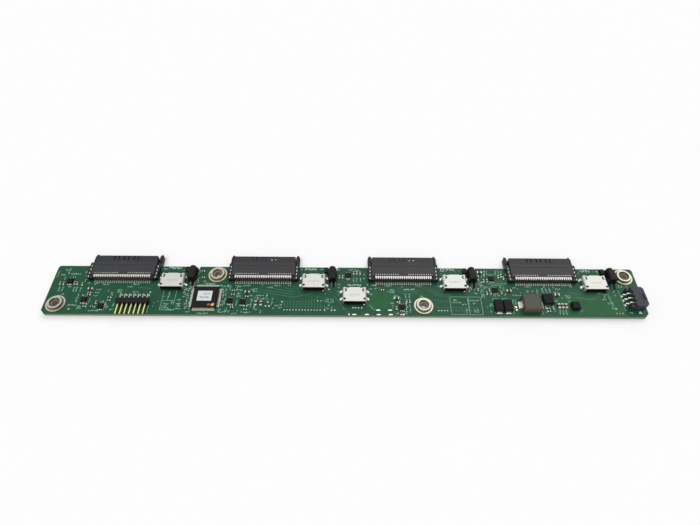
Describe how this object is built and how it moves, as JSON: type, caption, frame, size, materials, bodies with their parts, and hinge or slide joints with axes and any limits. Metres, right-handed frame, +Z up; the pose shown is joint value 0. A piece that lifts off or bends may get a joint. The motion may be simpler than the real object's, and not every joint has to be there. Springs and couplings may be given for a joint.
{
  "type": "drive backplane board",
  "caption": "Long narrow circuit board with drive receptacles along one edge, shielded cable receptacles, a power header, a pin header and ringed mounting spacers.",
  "frame": {"origin": "axis of the left front mounting hole, at the plane that the four spacers stand on", "axes": "+X along the board towards the power header, +Y towards the edge that the drives plug into, +Z up from the carrier through the board"},
  "size_m": [0.34, 0.0418, 0.0088],
  "materials": {
    "board_laminate": "glossy green solder mask over glass laminate",
    "spacer_metal": "turned, nickel plated",
    "dark_moulding": "fine moulded texture",
    "contact_metal": "tin plated strip",
    "shield_metal": "pressed and plated sheet",
    "insert_plastic": "moulded",
    "holder_plastic": "moulded",
    "lens_plastic": "clear to milky",
    "power_moulding": "moulded, blue-black",
    "gilt_pins": "gold plated",
    "chip_moulding": "moulded",
    "core_ferrite": "pressed powder core, satin",
    "passive_ceramic": "fired"
  },
  "bodies": {
    "root": {"cable_contacts_1": "contact_metal", "cable_contacts_2": "contact_metal", "cable_contacts_3": "contact_metal", "cable_contacts_4": "contact_metal", "cable_contacts_5": "contact_metal", "cable_insert_1": "insert_plastic", "cable_insert_2": "insert_plastic", "cable_insert_3": "insert_plastic", "cable_insert_4": "insert_plastic", "cable_insert_5": "insert_plastic", "cable_shell_1": "shield_metal", "cable_shell_2": "shield_metal", "cable_shell_3": "shield_metal", "cable_shell_4": "shield_metal", "cable_shell_5": "shield_metal", "circuit_board": "board_laminate", "controller_body": "chip_moulding", "controller_leads": "contact_metal", "converter_chip": "chip_moulding", "converter_leads": "contact_metal", "diode_body_1": "chip_moulding", "diode_body_2": "chip_moulding", "diode_terminals": "contact_metal", "drive_contacts_1": "contact_metal", "drive_contacts_2": "contact_metal", "drive_contacts_3": "contact_metal", "drive_contacts_4": "contact_metal", "drive_hold_downs_1": "contact_metal", "drive_hold_downs_2": "contact_metal", "drive_hold_downs_3": "contact_metal", "drive_hold_downs_4": "contact_metal", "drive_housing_1": "dark_moulding", "drive_housing_2": "dark_moulding", "drive_housing_3": "dark_moulding", "drive_housing_4": "dark_moulding", "filter_choke": "chip_moulding", "header_pins": "gilt_pins", "header_strip": "dark_moulding", "inductor_core": "core_ferrite", "inductor_terminals": "contact_metal", "light_holder_1": "holder_plastic", "light_holder_2": "holder_plastic", "light_holder_3": "holder_plastic", "light_holder_4": "holder_plastic", "light_leads": "contact_metal", "light_lenses": "lens_plastic", "mounting_spacer_1": "spacer_metal", "mounting_spacer_2": "spacer_metal", "mounting_spacer_3": "spacer_metal", "mounting_spacer_4": "spacer_metal", "passive_bodies": "passive_ceramic", "passive_end_caps": "contact_metal", "power_housing": "power_moulding", "power_pins": "contact_metal", "small_chip_leads": "contact_metal", "small_chips": "chip_moulding"}
  },
  "joints": []
}
